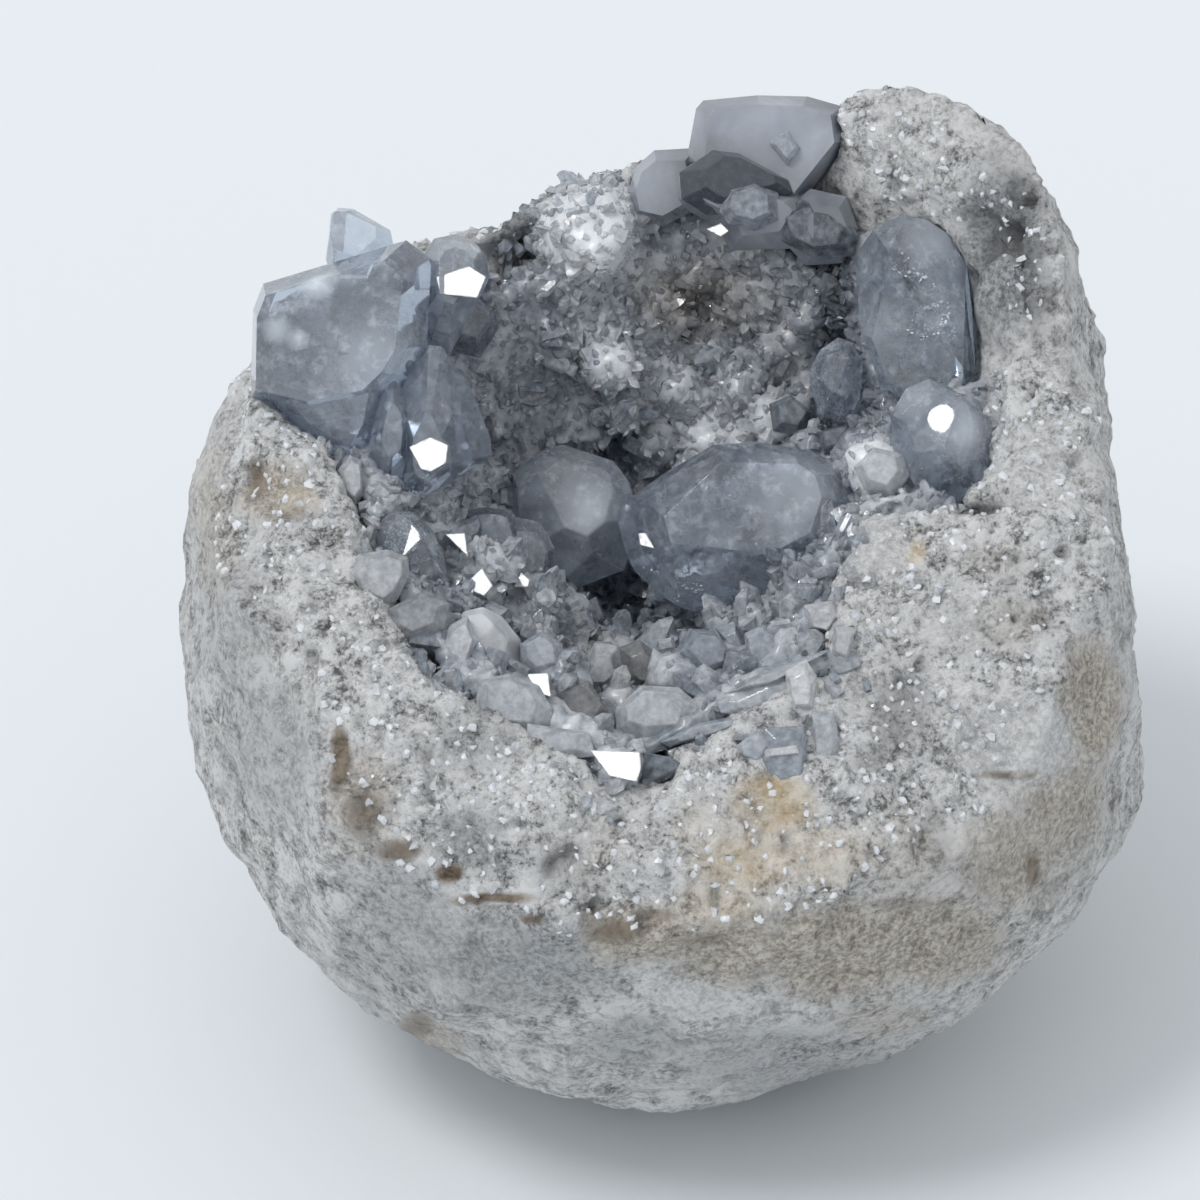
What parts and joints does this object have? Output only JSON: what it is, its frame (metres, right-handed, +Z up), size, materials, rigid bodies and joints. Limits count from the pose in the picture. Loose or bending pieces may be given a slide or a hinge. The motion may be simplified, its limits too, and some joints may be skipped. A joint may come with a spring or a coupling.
{
  "type": "celestite geode",
  "caption": "Rounded rock broken open to show a hollow lined with druse and large blue-grey celestite crystals, resting on a small flat spot.",
  "frame": {"origin": "middle of the footprint of the geode's bounding box, in the plane of the small flat spot that it rests on", "axes": "+X to the right, +Y to the back and +Z up, seen from the side towards which the mouth of the hollow leans"},
  "size_m": [0.0858, 0.0866, 0.0828],
  "materials": {
    "geode_rock": "matte, finely pitted grey-white rock, sugary where it is broken, with tan and rust stains",
    "druse": "glittering crust of small grey-blue crystals",
    "celestite": "glossy, clear to cloudy grey-blue crystal",
    "white_celestite": "broken, cloudy white crystal"
  },
  "bodies": {
    "root": {"rock_shell": "geode_rock", "crystal_crust": "druse", "left_crystal_group": "celestite", "front_crystal": "celestite", "middle_crystal": "celestite", "blade_crystal": "celestite", "block_crystal": "celestite", "round_crystal": "celestite", "back_crystal_group": "celestite", "egg_crystal": "celestite", "upright_crystal_pair": "celestite", "broken_white_crystal": "white_celestite"}
  },
  "joints": []
}
